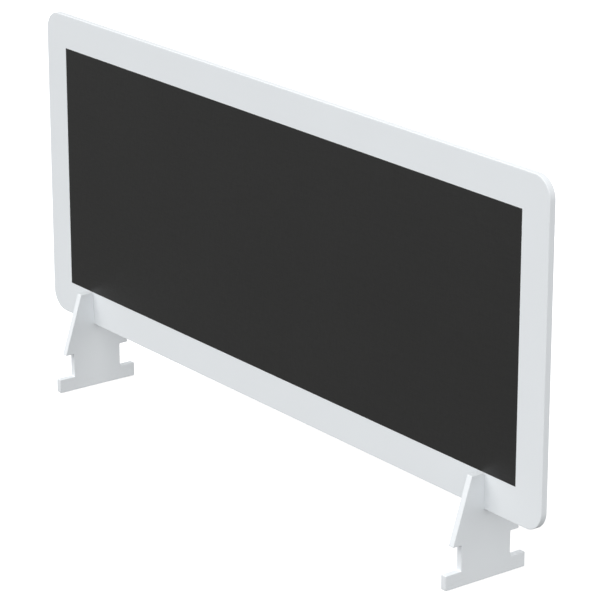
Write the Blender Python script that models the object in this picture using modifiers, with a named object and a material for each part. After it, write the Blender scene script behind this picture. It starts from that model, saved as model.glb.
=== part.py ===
"""Free-standing desk privacy panel.

A bonded white panel with a charcoal field on each face, lapped onto two plate feet.
Metres, +Z up. +X runs along the panel and -Y is the front. The origin is on the desk
top, under the middle of the panel.
"""

import math

import bmesh
import bpy

GAP = 0.0003  # between neighbouring pieces

# The panel as a whole
PANEL_WIDTH = 1.4732
PANEL_HEIGHT = 0.6096
PANEL_BOTTOM = 0.1292  # its lower edge above the desk top
SHEET = 0.0127  # thickness of the panel and of the feet
CORNER_RADIUS = 0.0381
CORNER_STEPS = 12
MARGIN = 0.0652  # width of the white surround

# The layers of the panel
FACE_THICKNESS = 0.0030
FACING_THICKNESS = 0.0005
BAND_THICKNESS = 0.0020
BAND_ROUNDING = 0.0012
BAND_ROUNDING_STEPS = 3

# The feet: half depths and heights of the plate's outline
FOOT_FACE_FROM_MIDDLE = 0.5942  # the right-hand face of each foot, from the panel's middle
TOP_HALF_DEPTH = 0.0344
SHOULDER_HALF_DEPTH = 0.0733
NECK_HALF_DEPTH = 0.0540
BASE_HALF_DEPTH = 0.0879
BASE_UNDERSIDE = 0.0005
BASE_TOP = 0.0277
SHOULDER_HEIGHT = 0.0747
FOOT_TOP = PANEL_BOTTOM + MARGIN
FOOT_ROUNDING = 0.0010

# The pads under the feet
PAD_LENGTH = 0.0340
PAD_WIDTH = 0.0090
PAD_HEIGHT = 0.0014
PAD_FROM_END = 0.0060

# The lap joint: panel and foot are each cut halfway
LAP_HEIGHT = PANEL_BOTTOM + MARGIN / 2
NOTCH_TOP = LAP_HEIGHT + GAP / 2 - PANEL_BOTTOM
SLOT_BOTTOM = LAP_HEIGHT - GAP / 2
LEFT_FOOT_X = -FOOT_FACE_FROM_MIDDLE - SHEET / 2
RIGHT_FOOT_X = FOOT_FACE_FROM_MIDDLE - SHEET / 2
NOTCH_HALF_WIDTH = SHEET / 2 + GAP

FACE_INSET = BAND_THICKNESS + GAP
FACE_CENTRE_DEPTH = SHEET / 2 - FACE_THICKNESS / 2
CORE_THICKNESS = SHEET - 2 * (FACE_THICKNESS + GAP)

WINDOW_HALF_WIDTH = PANEL_WIDTH / 2 - MARGIN
WINDOW_LOW = MARGIN
WINDOW_HIGH = PANEL_HEIGHT - MARGIN

FRONT = -1
REAR = 1

WHITE = (0.80, 0.81, 0.82)
CHARCOAL = (0.030, 0.031, 0.032)
BOARD_BROWN = (0.36, 0.25, 0.15)
PAD_GREY = (0.55, 0.56, 0.57)


def clear_scene():
    for existing in list(bpy.data.objects):
        bpy.data.objects.remove(existing, do_unlink=True)


def make_collection(name):
    collection = bpy.data.collections.new(name)
    bpy.context.scene.collection.children.link(collection)
    return collection


def make_material(name, colour, roughness, metallic=0.0):
    material = bpy.data.materials.new(name)
    material.use_nodes = True
    shader = material.node_tree.nodes["Principled BSDF"]
    shader.inputs["Base Color"].default_value = (*colour, 1.0)
    shader.inputs["Roughness"].default_value = roughness
    shader.inputs["Metallic"].default_value = metallic
    return material


def make_group(name, location):
    """An empty that carries the pieces of one moving body."""
    group = bpy.data.objects.new(name, None)
    group.location = location
    parts.objects.link(group)
    return group


def add_part(name, data, group, material, location, rotation=(0.0, 0.0, 0.0)):
    part = bpy.data.objects.new(name, data)
    part.data.materials.append(material)
    part.parent = group
    part.location = location
    part.rotation_euler = rotation
    parts.objects.link(part)
    return part


SHARP_ANGLE = math.radians(40)  # edges that turn by more than this are shaded sharp
UPRIGHT = (math.radians(90), 0.0, 0.0)  # an outline's x and y become X and Z
ACROSS = (math.radians(90), 0.0, math.radians(90))  # an outline's x and y become Y and Z


def arc(centre, radius, first_degrees, last_degrees, steps):
    points = []
    for step in range(steps + 1):
        angle = math.radians(first_degrees + (last_degrees - first_degrees) * step / steps)
        points.append((centre[0] + radius * math.cos(angle), centre[1] + radius * math.sin(angle)))
    return points


def corner(right, top, inset):
    """One rounded corner of the panel, anticlockwise. right and top are 1 or -1."""
    centre_x = right * (PANEL_WIDTH / 2 - CORNER_RADIUS)
    centre_z = PANEL_HEIGHT - CORNER_RADIUS if top > 0 else CORNER_RADIUS
    first = {(1, -1): -90, (1, 1): 0, (-1, 1): 90, (-1, -1): 180}[(right, top)]
    return arc((centre_x, centre_z), CORNER_RADIUS - inset, first, first + 90, CORNER_STEPS)


def notch(foot_x, inset):
    """The cut that a foot enters, read along the panel's lower edge to the right."""
    left = foot_x - NOTCH_HALF_WIDTH
    right = foot_x + NOTCH_HALF_WIDTH
    return [(left, inset), (left, NOTCH_TOP), (right, NOTCH_TOP), (right, inset)]


def panel_outline(inset):
    """The panel's outline with its two notches, drawn in by inset all round."""
    return [
        *notch(LEFT_FOOT_X, inset),
        *notch(RIGHT_FOOT_X, inset),
        *corner(1, -1, inset),
        *corner(1, 1, inset),
        *corner(-1, 1, inset),
        *corner(-1, -1, inset),
    ]


def rectangle(low, high):
    return [low, (high[0], low[1]), high, (low[0], high[1])]


def make_outline(name, loops, cyclic=True):
    """A flat curve through the points of each loop."""
    curve = bpy.data.curves.new(name, "CURVE")
    curve.dimensions = "2D"
    for points in loops:
        spline = curve.splines.new("POLY")
        spline.points.add(len(points) - 1)
        for point, (x, y) in zip(spline.points, points):
            point.co = (x, y, 0.0, 1.0)
        spline.use_cyclic_u = cyclic
    return curve


def make_sheet(name, loops, thickness):
    """The outline filled and given a thickness. A second loop is a window."""
    curve = make_outline(name, loops)
    curve.fill_mode = "BOTH"
    curve.extrude = thickness / 2
    return curve


def make_box(name, size, open_side=None):
    """A box around the origin. open_side is the direction of a face to leave out."""
    mesh = bpy.data.meshes.new(name)
    box = bmesh.new()
    bmesh.ops.create_cube(box, size=1.0)
    bmesh.ops.scale(box, vec=size, verts=box.verts)
    if open_side is not None:
        left_out = [face for face in box.faces if face.normal.dot(open_side) > 0.9]
        bmesh.ops.delete(box, geom=left_out, context="FACES_ONLY")
    box.to_mesh(mesh)
    box.free()
    return mesh


def as_mesh(part):
    """Turns a filled curve into a mesh with its caps welded on, each cap as one face."""
    name = part.name
    graph = bpy.context.evaluated_depsgraph_get()
    mesh = bpy.data.meshes.new_from_object(part.evaluated_get(graph))
    welded = bmesh.new()
    welded.from_mesh(mesh)
    bmesh.ops.remove_doubles(welded, verts=welded.verts, dist=0.00001)
    for height in (-part.data.extrude, part.data.extrude):
        cap = [f for f in welded.faces if all(abs(v.co.z - height) < 0.00001 for v in f.verts)]
        bmesh.ops.dissolve_faces(welded, faces=cap)
    welded.to_mesh(mesh)
    welded.free()
    mesh.shade_smooth()
    mesh.set_sharp_from_angle(angle=SHARP_ANGLE)
    solid = bpy.data.objects.new(name, mesh)
    solid.parent = part.parent
    solid.matrix_world = part.matrix_world
    parts.objects.link(solid)
    bpy.data.objects.remove(part)
    solid.name = name
    return solid


def add_core_board(panel):
    outline = panel_outline(FACE_INSET)
    curve = make_sheet("core_board", [outline], CORE_THICKNESS)
    add_part("core_board", curve, panel, board_material, (0.0, 0.0, 0.0), UPRIGHT)


def add_frame(panel, name, side):
    """The white surround of one face: the panel's outline with a square window."""
    window = rectangle((-WINDOW_HALF_WIDTH, WINDOW_LOW), (WINDOW_HALF_WIDTH, WINDOW_HIGH))
    curve = make_sheet(name, [panel_outline(FACE_INSET), window], FACE_THICKNESS)
    add_part(name, curve, panel, frame_material, (0.0, side * FACE_CENTRE_DEPTH, 0.0), UPRIGHT)


def add_inlay(panel, face, side):
    """The charcoal field of one face: a backing board under a facing turned over its edges."""
    facing_size = (
        2 * (WINDOW_HALF_WIDTH - GAP),
        FACE_THICKNESS,
        WINDOW_HIGH - WINDOW_LOW - 2 * GAP,
    )
    centre = (0.0, side * FACE_CENTRE_DEPTH, (WINDOW_LOW + WINDOW_HIGH) / 2)
    mesh = make_box(face + "_inlay_facing", facing_size, open_side=(0.0, -side, 0.0))
    facing = add_part(face + "_inlay_facing", mesh, panel, facing_material, centre)
    shell = facing.modifiers.new("facing", "SOLIDIFY")
    shell.thickness = FACING_THICKNESS
    shell.offset = -1.0
    shell.use_even_offset = True

    around = 2 * (FACING_THICKNESS + GAP)
    board_depth = FACE_THICKNESS - FACING_THICKNESS - GAP
    board_size = (facing_size[0] - around, board_depth, facing_size[2] - around)
    board_centre = (0.0, side * (SHEET / 2 - FACE_THICKNESS + board_depth / 2), centre[2])
    mesh = make_box(face + "_inlay_board", board_size)
    add_part(face + "_inlay_board", mesh, panel, board_material, board_centre)


def make_band_profile():
    """The edge band's section: square to the board, rounded outside."""
    half_thickness = BAND_THICKNESS / 2
    half_depth = SHEET / 2
    centre_x = half_thickness - BAND_ROUNDING
    centre_y = half_depth - BAND_ROUNDING
    section = [
        (-half_thickness, -half_depth),
        (-half_thickness, half_depth),
        *arc((centre_x, centre_y), BAND_ROUNDING, 90, 0, BAND_ROUNDING_STEPS),
        *arc((centre_x, -centre_y), BAND_ROUNDING, 0, -90, BAND_ROUNDING_STEPS),
    ]
    profile = bpy.data.objects.new("band_profile", make_outline("band_profile", [section]))
    profile.hide_render = True
    profile.display_type = "WIRE"
    guides.objects.link(profile)
    return profile


def add_edge_band(panel, name, path, profile):
    curve = make_outline(name, [path], cyclic=False)
    curve.bevel_mode = "OBJECT"
    curve.bevel_object = profile
    curve.use_fill_caps = True
    add_part(name, curve, panel, band_material, (0.0, 0.0, 0.0), UPRIGHT)


def add_edge_bands(panel):
    profile = make_band_profile()
    middle = BAND_THICKNESS / 2
    outer_path = [
        (RIGHT_FOOT_X + NOTCH_HALF_WIDTH, middle),
        *corner(1, -1, middle),
        *corner(1, 1, middle),
        *corner(-1, 1, middle),
        *corner(-1, -1, middle),
        (LEFT_FOOT_X - NOTCH_HALF_WIDTH, middle),
    ]
    add_edge_band(panel, "outer_edge_band", outer_path, profile)
    bottom_path = [
        (LEFT_FOOT_X + NOTCH_HALF_WIDTH, middle),
        (RIGHT_FOOT_X - NOTCH_HALF_WIDTH, middle),
    ]
    add_edge_band(panel, "bottom_edge_band", bottom_path, profile)


def foot_outline():
    """The plate from the side: a base bar, a neck, two shoulders and a slotted top."""
    slot_half_width = SHEET / 2 + GAP
    half = [
        (BASE_HALF_DEPTH, BASE_UNDERSIDE),
        (BASE_HALF_DEPTH, BASE_TOP),
        (NECK_HALF_DEPTH, BASE_TOP),
        (NECK_HALF_DEPTH, SHOULDER_HEIGHT),
        (SHOULDER_HALF_DEPTH, SHOULDER_HEIGHT),
        (TOP_HALF_DEPTH, FOOT_TOP),
        (slot_half_width, FOOT_TOP),
        (slot_half_width, SLOT_BOTTOM),
    ]
    return half + [(-y, z) for y, z in reversed(half)]


def pad_outline(length, width):
    radius = width / 2
    reach = length / 2 - radius
    steps = 8
    return arc((0.0, reach), radius, 0, 180, steps) + arc((0.0, -reach), radius, 180, 360, steps)


def add_foot(group, side_name):
    curve = make_sheet(side_name + "_foot_plate", [foot_outline()], SHEET)
    plate = add_part(
        side_name + "_foot_plate", curve, group, foot_material, (0.0, 0.0, 0.0), ACROSS
    )
    bpy.context.view_layer.update()
    plate = as_mesh(plate)
    rounding = plate.modifiers.new("rounding", "BEVEL")
    rounding.width = FOOT_ROUNDING
    rounding.segments = 2
    rounding.limit_method = "ANGLE"

    pad_distance = BASE_HALF_DEPTH - PAD_FROM_END - PAD_LENGTH / 2
    for end, side in (("front", FRONT), ("rear", REAR)):
        place = (0.0, side * pad_distance, PAD_HEIGHT / 2)
        curve = make_sheet("pad", [pad_outline(PAD_LENGTH, PAD_WIDTH)], PAD_HEIGHT)
        add_part(f"{side_name}_{end}_pad", curve, group, pad_material, place)

        pocket_outline = pad_outline(PAD_LENGTH + 2 * GAP, PAD_WIDTH + 2 * GAP)
        pocket = make_sheet("pocket", [pocket_outline], 2 * (PAD_HEIGHT + GAP))
        cutter = add_part(
            f"{side_name}_{end}_pocket", pocket, group, foot_material, (0.0, place[1], 0.0)
        )
        bpy.context.view_layer.update()
        cutter = as_mesh(cutter)
        parts.objects.unlink(cutter)
        guides.objects.link(cutter)
        cutter.hide_render = True
        cutter.display_type = "WIRE"
        cut = plate.modifiers.new(f"{end}_pocket", "BOOLEAN")
        cut.operation = "DIFFERENCE"
        cut.object = cutter


clear_scene()
parts = make_collection("desk_privacy_panel")
guides = make_collection("guides")

frame_material = make_material("white_laminate", WHITE, 0.42)
band_material = make_material("white_edge_band", WHITE, 0.38)
facing_material = make_material("charcoal_facing", CHARCOAL, 0.50)
board_material = make_material("fibreboard", BOARD_BROWN, 0.85)
foot_material = make_material("white_lacquer", WHITE, 0.40)
pad_material = make_material("pad_rubber", PAD_GREY, 0.75)

left_foot = make_group("left_foot", (LEFT_FOOT_X, 0.0, 0.0))
panel = make_group("panel", (0.0, 0.0, PANEL_BOTTOM))
right_foot = make_group("right_foot", (RIGHT_FOOT_X, 0.0, 0.0))

add_core_board(panel)
add_frame(panel, "front_frame", FRONT)
add_frame(panel, "rear_frame", REAR)
add_inlay(panel, "front", FRONT)
add_inlay(panel, "rear", REAR)
add_edge_bands(panel)
add_foot(left_foot, "left")
add_foot(right_foot, "right")
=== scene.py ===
"""The looks of a free-standing desk privacy panel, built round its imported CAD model.

The panel is a white surround with a charcoal field on each face, closed by a white edge
band. It laps onto two white plate feet that stand on thin rubber pads. Metres, +Z up, with
+X along the panel and -Y to the front, as in the CAD model.
"""

import math

import bmesh
import bpy
from mathutils import Matrix, Vector


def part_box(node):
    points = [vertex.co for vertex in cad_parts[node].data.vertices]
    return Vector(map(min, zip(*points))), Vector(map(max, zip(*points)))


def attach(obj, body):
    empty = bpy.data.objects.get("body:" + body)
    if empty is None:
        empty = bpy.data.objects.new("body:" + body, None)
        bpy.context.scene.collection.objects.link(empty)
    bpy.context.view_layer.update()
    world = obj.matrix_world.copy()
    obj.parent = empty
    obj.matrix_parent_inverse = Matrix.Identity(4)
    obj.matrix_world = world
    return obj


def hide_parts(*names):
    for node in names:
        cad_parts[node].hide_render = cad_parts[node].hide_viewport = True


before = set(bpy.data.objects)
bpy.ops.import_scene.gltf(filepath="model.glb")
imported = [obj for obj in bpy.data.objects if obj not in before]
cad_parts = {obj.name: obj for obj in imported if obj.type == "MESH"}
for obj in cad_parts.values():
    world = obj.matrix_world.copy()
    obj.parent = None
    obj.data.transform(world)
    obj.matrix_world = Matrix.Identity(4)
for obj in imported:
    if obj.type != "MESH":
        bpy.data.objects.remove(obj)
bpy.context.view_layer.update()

MM = 0.001
X_AXIS = Vector((1.0, 0.0, 0.0))
Y_AXIS = Vector((0.0, 1.0, 0.0))
Z_AXIS = Vector((0.0, 0.0, 1.0))

# What the CAD model says
band_low, band_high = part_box("outer_edge_band")
core_low, core_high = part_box("core_board")
facing_low, facing_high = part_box("front_inlay_facing")
PANEL_FRONT = band_low.y
PANEL_REAR = band_high.y
SHEET = PANEL_REAR - PANEL_FRONT
CAD_GAP = 0.3 * MM  # round each facing and each pad

# The panel, with gaps and roundings finer than the CAD model's
SEAM = 0.10 * MM  # round the charcoal fields
HAIRLINE = 0.04 * MM  # between other bonded pieces
LAP_GAP = 0.08 * MM  # between the panel and the feet
CORNER_RADIUS = 38.1 * MM
BAND_THICKNESS = 2.0 * MM
BAND_ROUNDING = 1.2 * MM
SURROUND_ROUNDING = 0.12 * MM
FACING_THICKNESS = 0.7 * MM
FACING_ROUNDING = 0.45 * MM

# The plate feet: half depths from the panel's middle and heights above the desk
NECK_HALF_DEPTH = 54.0 * MM
SHOULDER_HALF_DEPTH = 73.3 * MM
TOP_HALF_DEPTH = 34.4 * MM
BASE_TOP = 27.7 * MM
SHOULDER_HEIGHT = 74.7 * MM
LAP_HEIGHT = 161.8 * MM
FOOT_ROUNDING = 1.0 * MM
FOOT_CORNER = 1.6 * MM  # radius of the outline's outer corners
CUTTER_CORNER = 1.0 * MM  # radius left in its inner corners
PAD_ROUNDING = 0.35 * MM

# How many flats stand for a curve
PANEL_CORNER_STEPS = 28
FOOT_CORNER_STEPS = 4
PAD_END_STEPS = 16
BAND_STEPS = 8
ROUNDING_STEPS = 5
FINE_ROUNDING_STEPS = 3


# ---------------------------------------------------------------- outlines

def arc(centre, radius, first_degrees, last_degrees, steps):
    points = []
    for step in range(steps + 1):
        angle = math.radians(first_degrees + (last_degrees - first_degrees) * step / steps)
        points.append(Vector((
            centre[0] + radius * math.cos(angle),
            centre[1] + radius * math.sin(angle),
        )))
    return points


def panel_corner(right, top, inset):
    """One rounded corner of the panel, anticlockwise. right and top are 1 or -1."""
    centre_x = right * (band_high.x - CORNER_RADIUS)
    centre_z = band_high.z - CORNER_RADIUS if top > 0 else band_low.z + CORNER_RADIUS
    first = {(1, -1): -90, (1, 1): 0, (-1, 1): 90, (-1, -1): 180}[(right, top)]
    radius = CORNER_RADIUS - inset
    return arc((centre_x, centre_z), radius, first, first + 90, PANEL_CORNER_STEPS)


def notch_sides(foot):
    """The X of both sides of the notch that a foot enters."""
    low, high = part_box(foot + "_foot_plate")
    return low.x - LAP_GAP, high.x + LAP_GAP


def panel_outline(inset):
    """The panel's outline with its two notches, drawn in by inset except in the notches."""
    points = []
    low = band_low.z + inset
    top = LAP_HEIGHT + LAP_GAP / 2
    for foot in ("left", "right"):
        left_side, right_side = notch_sides(foot)
        points += [
            Vector((left_side, low)),
            Vector((left_side, top)),
            Vector((right_side, top)),
            Vector((right_side, low)),
        ]
    for right, top in ((1, -1), (1, 1), (-1, 1), (-1, -1)):
        points += panel_corner(right, top, inset)
    return points


def rectangle(low, high):
    """Anticlockwise from the lower left."""
    return [
        Vector((low[0], low[1])),
        Vector((high[0], low[1])),
        Vector((high[0], high[1])),
        Vector((low[0], high[1])),
    ]


def window_outline(inset):
    """The charcoal field's outline. A negative inset makes it larger."""
    return rectangle(
        (facing_low.x + inset, facing_low.z + inset),
        (facing_high.x - inset, facing_high.z - inset),
    )


def neighbours(points):
    return zip(points[-1:] + points[:-1], points, points[1:] + points[:1])


def drawn_in(points, distance):
    """A loop moved to its left by distance, which is inwards when it runs anticlockwise."""
    moved = []
    for before, here, after in neighbours(points):
        arriving = (here - before).normalized()
        leaving = (after - here).normalized()
        normals = Vector((-arriving.y - leaving.y, arriving.x + leaving.x))
        moved.append(here + normals * (distance / (1.0 + arriving.dot(leaving))))
    return moved


def eased(points, outer_radius, inner_radius, steps):
    """An anticlockwise loop with its corners turned into arcs."""
    rounded = []
    for before, here, after in neighbours(points):
        arriving = (here - before).normalized()
        leaving = (after - here).normalized()
        turn = math.atan2(arriving.cross(leaving), arriving.dot(leaving))
        radius = outer_radius if turn > 0 else inner_radius
        reach = radius * math.tan(abs(turn) / 2)
        side = math.copysign(1.0, turn)
        start = here - arriving * reach
        centre = start + Vector((-arriving.y, arriving.x)) * (side * radius)
        for step in range(steps + 1):
            spin = Matrix.Rotation(turn * step / steps, 2)
            rounded.append(centre + spin @ (start - centre))
    return rounded


def foot_outline(plate_low, plate_high):
    """The foot from its right-hand side: a base bar, a neck and two sloping shoulders."""
    base_half_depth = plate_high.y
    half = [
        (base_half_depth, plate_low.z),
        (base_half_depth, BASE_TOP),
        (NECK_HALF_DEPTH, BASE_TOP),
        (NECK_HALF_DEPTH, SHOULDER_HEIGHT),
        (SHOULDER_HALF_DEPTH, SHOULDER_HEIGHT),
        (TOP_HALF_DEPTH, plate_high.z),
    ]
    other_half = [(-depth, height) for depth, height in reversed(half)]
    corners = [Vector(point) for point in half + other_half]
    return eased(corners, FOOT_CORNER, CUTTER_CORNER, FOOT_CORNER_STEPS)


def pad_outline(pad_low, pad_high, growth=0.0):
    """A bar with round ends, lying along Y."""
    radius = (pad_high.x - pad_low.x) / 2
    middle = (pad_low.x + pad_high.x) / 2
    rear = arc((middle, pad_high.y - radius), radius + growth, 0, 180, PAD_END_STEPS)
    front = arc((middle, pad_low.y + radius), radius + growth, 180, 360, PAD_END_STEPS)
    return rear + front


# ---------------------------------------------------------------- solids

SHARP_ANGLE = math.radians(40.0)  # edges that turn by more than this are shaded sharp


def facing_frame(origin, across, up):
    """The matrix that takes an outline's x and y, and a height off it, into the scene."""
    out = across.cross(up)
    columns = Matrix((across, up, out)).transposed().to_4x4()
    return Matrix.Translation(origin) @ columns


def rounded_edge(rounding, steps):
    """(inset, height) from the outer face of a plate, at 0, round its edge to its side."""
    profile = []
    for step in range(steps + 1):
        angle = math.radians(90.0 * step / steps)
        inset = rounding * (1.0 - math.sin(angle))
        profile.append((inset, -rounding * (1.0 - math.cos(angle))))
    return profile


def plate_profile(thickness, rounding, steps):
    """(inset, height) down the side of a plate with both its edges rounded."""
    edge = rounded_edge(rounding, steps)
    return edge + [(inset, -thickness - height) for inset, height in reversed(edge)]


def tray_profile(depth, wall, rounding, steps):
    """(inset, height) down the outside of a shallow open tray and back up its inside."""
    return rounded_edge(rounding, steps) + [(0.0, -depth), (wall, -depth), (wall, -wall)]


def start_mesh():
    """An empty bmesh whose faces can be marked as rounded, for the wear on edges."""
    solid = bmesh.new()
    return solid, solid.faces.layers.float.new("rounded")


def keep_flats_flat(piece):
    """Shades the flat faces beside a rounded edge as flat."""
    weighted = piece.modifiers.new("flat faces stay flat", "WEIGHTED_NORMAL")
    weighted.keep_sharp = True


def finish_mesh(name, solid, material):
    """Turns a bmesh into a piece."""
    bmesh.ops.recalc_face_normals(solid, faces=solid.faces)
    for face in solid.faces:
        face.smooth = True
    mesh = bpy.data.meshes.new(name)
    solid.to_mesh(mesh)
    solid.free()
    mesh.set_sharp_from_angle(angle=SHARP_ANGLE)
    mesh.materials.append(material)
    piece = bpy.data.objects.new(name, mesh)
    bpy.context.scene.collection.objects.link(piece)
    keep_flats_flat(piece)
    return piece


def ring_faces(solid, first, second):
    """A strip of faces between two loops of as many vertices."""
    faces = []
    count = len(first)
    for index in range(count):
        following = (index + 1) % count
        corners = (first[index], second[index], second[following], first[following])
        faces.append(solid.faces.new(corners))
    return faces


def make_plate(name, loops, profile, place, material):
    """A solid between two caps, whose sides follow each loop drawn in along the profile.

    The outer loop runs anticlockwise and a window runs clockwise.
    """
    solid, mark = start_mesh()
    ends = []
    for loop in loops:
        rings = []
        for inset, height in profile:
            ring = [
                solid.verts.new(place @ Vector((point.x, point.y, height)))
                for point in drawn_in(loop, inset)
            ]
            rings.append(ring)
        for (upper, lower), (first, second) in zip(
            zip(profile, profile[1:]), zip(rings, rings[1:])
        ):
            for face in ring_faces(solid, first, second):
                face[mark] = float(upper[0] != lower[0])
        ends.append((rings[0], rings[-1]))
    for side in (0, 1):
        boundary = []
        for end in ends:
            ring = end[side]
            for vertex, following in zip(ring, ring[1:] + ring[:1]):
                boundary.append(solid.edges.get((vertex, following)))
        bmesh.ops.triangle_fill(solid, edges=boundary, use_beauty=True)
    return finish_mesh(name, solid, material)


def make_band(name, path_at, section, material):
    """A strip along an open path. path_at(inset) gives the path.

    The section is the strip's outline, as (inset, height) from the middle of the sheet.
    """
    place = facing_frame(Vector((0.0, 0.0, 0.0)), X_AXIS, Z_AXIS)
    solid, mark = start_mesh()
    rows = []
    for inset, height in section:
        row = [solid.verts.new(place @ Vector((p.x, p.y, height))) for p in path_at(inset)]
        rows.append(row)
    for number, row in enumerate(rows):
        following = (number + 1) % len(rows)
        next_row = rows[following]
        at_an_edge = section[number][0] != section[following][0]
        for index in range(len(row) - 1):
            corners = (row[index], next_row[index], next_row[index + 1], row[index + 1])
            solid.faces.new(corners)[mark] = float(at_an_edge)
    solid.faces.new([row[0] for row in rows])
    solid.faces.new([row[-1] for row in rows])
    return finish_mesh(name, solid, material)


def make_cutter(name, outline, depth, place, material):
    """A straight-sided solid for cut_away."""
    return make_plate(name, [outline], [(0.0, 0.0), (0.0, -depth)], place, material)


def cut_away(piece, cutters):
    """Cuts the cutters out of a piece for good, and removes them."""
    piece.modifiers.clear()
    for cutter in cutters:
        cut = piece.modifiers.new("cut", "BOOLEAN")
        cut.operation = "DIFFERENCE"
        cut.object = cutter
    graph = bpy.context.evaluated_depsgraph_get()
    mesh = bpy.data.meshes.new_from_object(piece.evaluated_get(graph))
    mesh.set_sharp_from_angle(angle=SHARP_ANGLE)
    piece.modifiers.clear()
    piece.data = mesh
    for cutter in cutters:
        bpy.data.objects.remove(cutter)
    keep_flats_flat(piece)


# ---------------------------------------------------------------- materials

def feed(tree, source, socket):
    """Links another node's output to a socket, or sets the socket's own value."""
    if hasattr(source, "is_output"):
        tree.links.new(source, socket)
    else:
        socket.default_value = source


class Nodes:
    """A material's node tree, with short calls for the nodes that this script uses."""

    def __init__(self, name):
        self.material = bpy.data.materials.new(name)
        self.material.use_nodes = True
        self.tree = self.material.node_tree
        self.shader = self.tree.nodes["Principled BSDF"]
        self.place = self.add("ShaderNodeTexCoord").outputs["Object"]

    def add(self, kind, **settings):
        made = self.tree.nodes.new(kind)
        for setting, value in settings.items():
            setattr(made, setting, value)
        return made

    def link(self, source, socket):
        feed(self.tree, source, socket)

    def noise(self, per_metre, detail=2.0):
        """A cloudy pattern. per_metre is one number, or one for each axis."""
        texture = self.add("ShaderNodeTexNoise")
        vector = self.place
        if isinstance(per_metre, tuple):
            mapping = self.add("ShaderNodeMapping")
            self.link(self.place, mapping.inputs["Vector"])
            mapping.inputs["Scale"].default_value = per_metre
            vector = mapping.outputs["Vector"]
            per_metre = 1.0
        self.link(vector, texture.inputs["Vector"])
        texture.inputs["Scale"].default_value = per_metre
        texture.inputs["Detail"].default_value = detail
        return texture.outputs["Fac"]

    def maths(self, operation, first, second, clamp=False):
        made = self.add("ShaderNodeMath", operation=operation, use_clamp=clamp)
        self.link(first, made.inputs[0])
        self.link(second, made.inputs[1])
        return made.outputs[0]

    def spread(self, value, source, target):
        """A value stretched from one range to another, and kept inside it."""
        made = self.add("ShaderNodeMapRange")
        self.link(value, made.inputs["Value"])
        names = ("From Min", "From Max", "To Min", "To Max")
        for name, setting in zip(names, source + target):
            made.inputs[name].default_value = setting
        return made.outputs["Result"]

    def blend(self, amount, first, second):
        """A colour between two others."""
        made = self.add("ShaderNodeMix", data_type="RGBA")
        self.link(amount, made.inputs["Factor"])
        for socket, colour in ((made.inputs[6], first), (made.inputs[7], second)):
            self.link(colour if hasattr(colour, "is_output") else (*colour, 1.0), socket)
        return made.outputs[2]

    def rounded(self):
        """1 round the edges, where make_plate and make_band mark it, and 0 elsewhere."""
        return self.add("ShaderNodeAttribute", attribute_name="rounded").outputs["Fac"]

    def bump(self, height, distance, under=None):
        made = self.add("ShaderNodeBump")
        made.inputs["Distance"].default_value = distance
        self.link(height, made.inputs["Height"])
        if under is not None:
            self.link(under, made.inputs["Normal"])
        return made.outputs["Normal"]

    def surface(self, colour, roughness, normal):
        self.link(colour, self.shader.inputs["Base Color"])
        self.link(roughness, self.shader.inputs["Roughness"])
        self.link(normal, self.shader.inputs["Normal"])
        return self.material


WHITE = (0.792, 0.822, 0.845)
WHITE_SHADED = (0.772, 0.800, 0.822)
SCUFFED = (0.700, 0.715, 0.725)
CHARCOAL = (0.0122, 0.0123, 0.0119)
CHARCOAL_LIGHT = (0.0176, 0.0177, 0.0172)
BOARD_LIGHT = (0.430, 0.310, 0.195)
BOARD_DARK = (0.270, 0.180, 0.105)
RUBBER = (0.300, 0.305, 0.312)
RUBBER_DUSTY = (0.400, 0.400, 0.398)

# How far the finishes rise and fall
PEBBLE_DEPTH = 0.03 * MM
EXTRUDED_LINE_DEPTH = 0.02 * MM
ORANGE_PEEL_DEPTH = 0.04 * MM
LINEN_DEPTH = 0.05 * MM
FIELD_WAVE_DEPTH = 0.6 * MM
FIBRE_DEPTH = 0.10 * MM
RUBBER_SKIN_DEPTH = 0.04 * MM

LAMINATE_ROUGHNESS = (0.40, 0.47)
EDGING_ROUGHNESS = (0.36, 0.42)
LACQUER_ROUGHNESS = (0.36, 0.43)
CHARCOAL_ROUGHNESS = (0.44, 0.50)
BOARD_ROUGHNESS = (0.80, 0.95)
RUBBER_ROUGHNESS = (0.68, 0.86)
LAMINATE_EDGE_POLISH = 0.06
EDGING_POLISH = 0.1
SCUFF_ROUGHNESS = 0.2

# The ranges of a noise's values that are put to use
NOISE = (0.3, 0.7)
NOISE_MIDDLE = (0.35, 0.65)  # for stronger patches
TWO_NOISES = (0.7, 1.3)  # for two noises added together


def uneven_white(nodes, patches, most):
    """White with faint patches that are a little darker."""
    return nodes.blend(nodes.spread(patches, NOISE_MIDDLE, (0.0, most)), WHITE, WHITE_SHADED)


def make_laminate():
    """The surround: cool white laminate with a fine pebble.

    Its gloss is a little uneven from handling, and its edges are a little smoother.
    """
    nodes = Nodes("white_laminate_surface")
    broad = nodes.noise(per_metre=5.0, detail=3.0)
    pebble = nodes.noise(per_metre=620.0, detail=3.0)
    handled = nodes.noise(per_metre=14.0, detail=4.0)
    uneven = nodes.spread(handled, NOISE, LAMINATE_ROUGHNESS)
    grain = nodes.spread(pebble, NOISE, (-0.02, 0.02))
    smoother = nodes.maths("MULTIPLY", nodes.rounded(), LAMINATE_EDGE_POLISH)
    roughness = nodes.maths("SUBTRACT", nodes.maths("ADD", uneven, grain), smoother)
    colour = uneven_white(nodes, broad, 0.45)
    return nodes.surface(colour, roughness, nodes.bump(pebble, PEBBLE_DEPTH))


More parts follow.
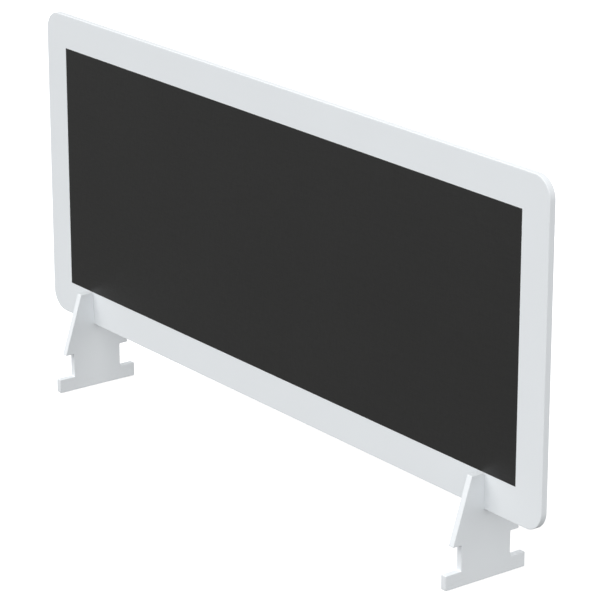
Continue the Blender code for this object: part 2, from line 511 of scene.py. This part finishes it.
def make_edging():
    """The edge band: the same white, extruded, so it is smoother and has fine lines along it."""
    nodes = Nodes("white_edge_band_surface")
    lines = nodes.noise(per_metre=(22.0, 2600.0, 22.0))
    broad = nodes.noise(per_metre=9.0, detail=3.0)
    patchy = nodes.noise(per_metre=60.0, detail=4.0)
    rubbed = nodes.maths("MULTIPLY", nodes.rounded(), patchy)
    smoother = nodes.maths("MULTIPLY", rubbed, EDGING_POLISH)
    extruded = nodes.spread(lines, NOISE, EDGING_ROUGHNESS)
    roughness = nodes.maths("SUBTRACT", extruded, smoother)
    colour = uneven_white(nodes, broad, 0.4)
    return nodes.surface(colour, roughness, nodes.bump(lines, EXTRUDED_LINE_DEPTH))


def make_foot_lacquer(base_height):
    """The feet: lacquered sheet with a slight orange peel and faint scuffs near the desk."""
    nodes = Nodes("white_lacquer_surface")
    height = nodes.add("ShaderNodeSeparateXYZ")
    nodes.link(nodes.place, height.inputs[0])
    low = nodes.spread(height.outputs["Z"], (0.0, base_height), (1.0, 0.0))
    marks = nodes.noise(per_metre=(60.0, 60.0, 420.0), detail=5.0)
    scuff = nodes.maths("MULTIPLY", low, nodes.spread(marks, (0.56, 0.70), (0.0, 0.5)))
    edge_marks = nodes.spread(marks, (0.50, 0.75), (0.0, 0.35))
    edge_wear = nodes.maths("MULTIPLY", nodes.rounded(), edge_marks)
    worn = nodes.maths("ADD", scuff, edge_wear, clamp=True)
    peel = nodes.noise(per_metre=430.0)
    broad = nodes.noise(per_metre=11.0, detail=3.0)
    lacquered = nodes.spread(broad, NOISE, LACQUER_ROUGHNESS)
    rougher = nodes.maths("MULTIPLY", worn, SCUFF_ROUGHNESS)
    roughness = nodes.maths("ADD", lacquered, rougher)
    colour = nodes.blend(worn, uneven_white(nodes, broad, 0.4), SCUFFED)
    return nodes.surface(colour, roughness, nodes.bump(peel, ORANGE_PEEL_DEPTH))


def make_charcoal():
    """The fields: satin charcoal facing embossed with a fine, uneven linen grain."""
    nodes = Nodes("charcoal_facing_surface")
    weft = nodes.noise(per_metre=(95.0, 95.0, 900.0))
    warp = nodes.noise(per_metre=(900.0, 95.0, 95.0))
    linen = nodes.maths("ADD", weft, warp)
    slubs = nodes.noise(per_metre=(18.0, 18.0, 260.0), detail=3.0)
    broad = nodes.noise(per_metre=4.0, detail=3.0)
    linen_tone = nodes.spread(linen, TWO_NOISES, (0.0, 0.7))
    slub_tone = nodes.spread(slubs, NOISE_MIDDLE, (0.0, 0.3))
    tone = nodes.maths("ADD", linen_tone, slub_tone, clamp=True)
    colour = nodes.blend(tone, CHARCOAL, CHARCOAL_LIGHT)
    satin = nodes.spread(broad, NOISE, CHARCOAL_ROUGHNESS)
    raised = nodes.spread(linen, TWO_NOISES, (0.04, -0.04))
    roughness = nodes.maths("ADD", satin, raised)
    emboss = nodes.bump(linen, LINEN_DEPTH)
    return nodes.surface(colour, roughness, nodes.bump(broad, FIELD_WAVE_DEPTH, under=emboss))


def make_fibreboard():
    """The boards inside: pressed brown fibre, in thin layers across the sheet."""
    nodes = Nodes("fibreboard_surface")
    fibres = nodes.noise(per_metre=(900.0, 2600.0, 900.0), detail=6.0)
    clumps = nodes.noise(per_metre=140.0, detail=4.0)
    fibre_part = nodes.maths("MULTIPLY", fibres, 0.6)
    clump_part = nodes.maths("MULTIPLY", clumps, 0.4)
    mixed = nodes.maths("ADD", fibre_part, clump_part)
    tone = nodes.spread(mixed, (0.38, 0.62), (0.0, 1.0))
    colour = nodes.blend(tone, BOARD_DARK, BOARD_LIGHT)
    roughness = nodes.spread(fibres, NOISE, BOARD_ROUGHNESS)
    return nodes.surface(colour, roughness, nodes.bump(mixed, FIBRE_DEPTH))


def make_rubber():
    """The pads: grey rubber with a matt skin that dust dulls."""
    nodes = Nodes("pad_rubber_surface")
    dust = nodes.noise(per_metre=180.0, detail=4.0)
    skin = nodes.noise(per_metre=1500.0)
    dusty = nodes.spread(dust, (0.45, 0.70), (0.0, 0.6))
    colour = nodes.blend(dusty, RUBBER, RUBBER_DUSTY)
    roughness = nodes.spread(dust, NOISE, RUBBER_ROUGHNESS)
    return nodes.surface(colour, roughness, nodes.bump(skin, RUBBER_SKIN_DEPTH))


laminate = make_laminate()
edging = make_edging()
foot_lacquer = make_foot_lacquer(BASE_TOP)
charcoal = make_charcoal()
fibreboard = make_fibreboard()
rubber = make_rubber()


# ---------------------------------------------------------------- the panel

def dress(piece, body, slot, *nodes):
    """Puts a piece on its body, in the place of CAD nodes. The slot is not used."""
    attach(piece, body)
    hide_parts(*nodes)


def add_face(face, outwards):
    """One face of the panel: its surround and its charcoal field.

    outwards is -1 for the front and 1 for the rear.
    """
    surface = PANEL_REAR if outwards > 0 else PANEL_FRONT
    place = facing_frame(Vector((0.0, surface, 0.0)), X_AXIS * -outwards, Z_AXIS)
    surround_depth = (SHEET - (core_high.y - core_low.y)) / 2 - HAIRLINE  # to the core board
    outline = panel_outline(BAND_THICKNESS + HAIRLINE)
    if outwards > 0:  # the outline's x runs the other way on the rear face
        outline = [Vector((-point.x, point.y)) for point in reversed(outline)]
    window = window_outline(-CAD_GAP)[::-1]
    profile = plate_profile(surround_depth, SURROUND_ROUNDING, FINE_ROUNDING_STEPS)
    surround = make_plate(face + "_surround", [outline, window], profile, place, laminate)
    dress(surround, "panel", "white_laminate", face + "_frame")

    field_outline = window_outline(SEAM - CAD_GAP)
    profile = tray_profile(surround_depth, FACING_THICKNESS, FACING_ROUNDING, ROUNDING_STEPS)
    field = make_plate(face + "_field", [field_outline], profile, place, charcoal)
    dress(field, "panel", "charcoal_facing", face + "_inlay_facing")


def band_section():
    """(inset, height) round the edge band: square to the board and rounded outside."""
    half = SHEET / 2
    centre = half - BAND_ROUNDING
    front_edge = arc((BAND_ROUNDING, centre), BAND_ROUNDING, 90, 180, BAND_STEPS)
    rear_edge = arc((BAND_ROUNDING, -centre), BAND_ROUNDING, 180, 270, BAND_STEPS)
    inner = [(BAND_THICKNESS, -half), (BAND_THICKNESS, half)]
    return [(point.x, point.y) for point in front_edge + rear_edge] + inner


def add_edging():
    """The edge band, in the two lengths that the notches leave."""
    section = band_section()
    left_notch = notch_sides("left")
    right_notch = notch_sides("right")

    def round_the_ends_and_top(inset):
        path = [Vector((right_notch[1], band_low.z + inset))]
        for right, top in ((1, -1), (1, 1), (-1, 1), (-1, -1)):
            path += panel_corner(right, top, inset)
        return path + [Vector((left_notch[0], band_low.z + inset))]

    def between_the_feet(inset):
        height = band_low.z + inset
        return [Vector((left_notch[1], height)), Vector((right_notch[0], height))]

    outer = make_band("outer_edging", round_the_ends_and_top, section, edging)
    dress(outer, "panel", "white_edge_band", "outer_edge_band")
    bottom = make_band("bottom_edging", between_the_feet, section, edging)
    dress(bottom, "panel", "white_edge_band", "bottom_edge_band")


def show_boards():
    """The boards inside keep their CAD shape and show fibre where the notches cut them."""
    for name in ("core_board", "front_inlay_board", "rear_inlay_board"):
        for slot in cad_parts[name].material_slots:
            slot.material = fibreboard


# ---------------------------------------------------------------- the feet

def add_foot(side):
    """A plate with a slot for the panel, and its two pads in their pockets."""
    body = side + "_foot"
    plate_low, plate_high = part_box(side + "_foot_plate")
    thickness = plate_high.x - plate_low.x
    place = facing_frame(Vector((plate_high.x, 0.0, 0.0)), Y_AXIS, Z_AXIS)
    outline = foot_outline(plate_low, plate_high)
    profile = plate_profile(thickness, FOOT_ROUNDING, ROUNDING_STEPS)
    plate = make_plate(side + "_foot_sheet", [outline], profile, place, foot_lacquer)

    # The slot's cutter goes past the plate by its thickness on both sides and at the top
    slot = rectangle(
        (-SHEET / 2 - LAP_GAP, LAP_HEIGHT - LAP_GAP / 2),
        (SHEET / 2 + LAP_GAP, plate_high.z + thickness),
    )
    slot_place = facing_frame(Vector((plate_high.x + thickness, 0.0, 0.0)), Y_AXIS, Z_AXIS)
    cutters = [make_cutter("slot", slot, 3 * thickness, slot_place, foot_lacquer)]
    for end in ("front", "rear"):
        node = f"{side}_{end}_pad"
        pad_low, pad_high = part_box(node)
        height = pad_high.z - pad_low.z
        pad_place = facing_frame(Vector((0.0, 0.0, pad_high.z)), X_AXIS, Y_AXIS)
        profile = plate_profile(height, PAD_ROUNDING, FINE_ROUNDING_STEPS)
        outline = pad_outline(pad_low, pad_high)
        pad = make_plate(node + "_rubber", [outline], profile, pad_place, rubber)
        dress(pad, body, "pad_rubber", node)

        pocket = pad_outline(pad_low, pad_high, growth=CAD_GAP)
        pocket_top = Vector((0.0, 0.0, pad_high.z + CAD_GAP))
        pocket_place = facing_frame(pocket_top, X_AXIS, Y_AXIS)
        depth = 2 * pad_high.z  # past the underside
        cutters.append(make_cutter("pocket", pocket, depth, pocket_place, foot_lacquer))
    cut_away(plate, cutters)
    dress(plate, body, "white_foot_sheet", side + "_foot_plate")


add_face("front", -1)
add_face("rear", 1)
add_edging()
show_boards()
add_foot("left")
add_foot("right")


# ---------------------------------------------------------------- stage, light and camera

FLOOR_HALF_SIZE = 40.0
FLOOR_WHITE = (1.0, 1.0, 1.0)
FLOOR_PALE = (0.99, 0.99, 0.99)
FLOOR_ROUGHNESS = 0.9
FLOOR_GLOW = 0.35

# The sky and the ground, with how much brighter each is to the front or the right
SKY = 0.89
SKY_FRONT = 0.53
SKY_RIGHT = 0.59
GROUND = 0.241
GROUND_RIGHT = 0.06
HORIZON = 0.12  # one turns into the other within this sine of the elevation

# The two wide lights: strength, direction and the cosine at which they end
KEY = 2.47
KEY_FROM = Vector((-0.50, -0.45, 0.74)).normalized()
KEY_EDGE = 0.80
BACK = 2.7
BACK_FROM = Vector((-0.45, 0.88, -0.12)).normalized()
BACK_EDGE = 0.80

# The camera: what it looks at, where it stands from there, and its lens
AIM = Vector((82.5 * MM, PANEL_FRONT, 361.1 * MM))
AZIMUTH = math.radians(52.925)
ELEVATION = math.radians(18.670)
DISTANCE = 5.2668
LENS = 177.43  # the camera's own unit, millimetres
SENSOR_WIDTH = 36.0  # millimetres as well
CLIP_END = 100.0


def add_floor():
    """A plain pale floor, bright enough to wash out the panel's shadow.

    It neither lights nor shades the panel.
    """
    nodes = Nodes("studio_floor")
    tone = nodes.noise(per_metre=3.0)
    pale = nodes.blend(nodes.spread(tone, NOISE, (0.0, 1.0)), FLOOR_WHITE, FLOOR_PALE)
    nodes.link(pale, nodes.shader.inputs["Base Color"])
    nodes.shader.inputs["Roughness"].default_value = FLOOR_ROUGHNESS
    nodes.shader.inputs["Emission Color"].default_value = (*FLOOR_WHITE, 1.0)
    nodes.shader.inputs["Emission Strength"].default_value = FLOOR_GLOW
    solid = bmesh.new()
    bmesh.ops.create_grid(solid, x_segments=1, y_segments=1, size=FLOOR_HALF_SIZE)
    mesh = bpy.data.meshes.new("studio_floor")
    solid.to_mesh(mesh)
    solid.free()
    mesh.materials.append(nodes.material)
    floor = bpy.data.objects.new("studio_floor", mesh)
    floor.visible_diffuse = False
    floor.visible_glossy = False
    floor.visible_shadow = False
    bpy.context.scene.collection.objects.link(floor)


def add_studio_light():
    """A soft sky over a dim ground, with a wide key light and a wide light from behind.

    The sky brightens evenly to the front and the right, and the ground to the right. The
    key comes from the front left and above, and the light from behind shows the back of
    the panel.
    """
    world = bpy.data.worlds.new("studio")
    world.use_nodes = True
    bpy.context.scene.world = world
    tree = world.node_tree
    white = (1.0, 1.0, 1.0, 1.0)
    background = tree.nodes["Background"]
    background.inputs["Color"].default_value = white
    direction = tree.nodes.new("ShaderNodeTexCoord").outputs["Generated"]

    def along(vector):
        """How far each direction points along a vector: the cosine, for a unit vector."""
        dot = tree.nodes.new("ShaderNodeVectorMath")
        dot.operation = "DOT_PRODUCT"
        tree.links.new(direction, dot.inputs[0])
        dot.inputs[1].default_value = vector
        return dot.outputs["Value"]

    def total(first, second):
        add = tree.nodes.new("ShaderNodeMath")
        feed(tree, first, add.inputs[0])
        feed(tree, second, add.inputs[1])
        return add.outputs[0]

    def rising(value, low, high, strength):
        """Nothing where a value is at low, and smoothly up to full strength at high."""
        rise = tree.nodes.new("ShaderNodeMapRange")
        rise.interpolation_type = "SMOOTHSTEP"
        tree.links.new(value, rise.inputs["Value"])
        rise.inputs["From Min"].default_value = low
        rise.inputs["From Max"].default_value = high
        rise.inputs["To Max"].default_value = strength
        return rise.outputs["Result"]

    key = rising(along(KEY_FROM), KEY_EDGE, 1.0, KEY)
    back = rising(along(BACK_FROM), BACK_EDGE, 1.0, BACK)
    sky = total(key, total(along((SKY_RIGHT, -SKY_FRONT, 0.0)), SKY))
    ground = total(along((GROUND_RIGHT, 0.0, 0.0)), GROUND)
    above = rising(along(Z_AXIS), -HORIZON, HORIZON, 1.0)
    mixed = tree.nodes.new("ShaderNodeMix")
    tree.links.new(above, mixed.inputs["Factor"])
    tree.links.new(ground, mixed.inputs["A"])
    tree.links.new(sky, mixed.inputs["B"])
    tree.links.new(total(mixed.outputs["Result"], back), background.inputs["Strength"])

    # The camera sees a plain white backdrop behind the floor's far edge
    backdrop = tree.nodes.new("ShaderNodeBackground")
    backdrop.inputs["Color"].default_value = white
    seen = tree.nodes.new("ShaderNodeLightPath")
    either = tree.nodes.new("ShaderNodeMixShader")
    tree.links.new(seen.outputs["Is Camera Ray"], either.inputs["Fac"])
    tree.links.new(background.outputs["Background"], either.inputs[1])
    tree.links.new(backdrop.outputs["Background"], either.inputs[2])
    tree.links.new(either.outputs["Shader"], tree.nodes["World Output"].inputs["Surface"])


def add_camera():
    """A long lens on AIM, from the front right and a little above."""
    camera = bpy.data.cameras.new("camera")
    camera.sensor_width = SENSOR_WIDTH
    camera.lens = LENS
    camera.clip_end = CLIP_END
    holder = bpy.data.objects.new("camera", camera)
    back = Vector((
        math.sin(AZIMUTH) * math.cos(ELEVATION),
        -math.cos(AZIMUTH) * math.cos(ELEVATION),
        math.sin(ELEVATION),
    ))
    holder.location = AIM + back * DISTANCE
    holder.rotation_euler = (-back).to_track_quat("-Z", "Y").to_euler()
    bpy.context.scene.collection.objects.link(holder)
    bpy.context.scene.camera = holder


add_floor()
add_studio_light()
add_camera()
bpy.context.scene.view_settings.view_transform = "Standard"
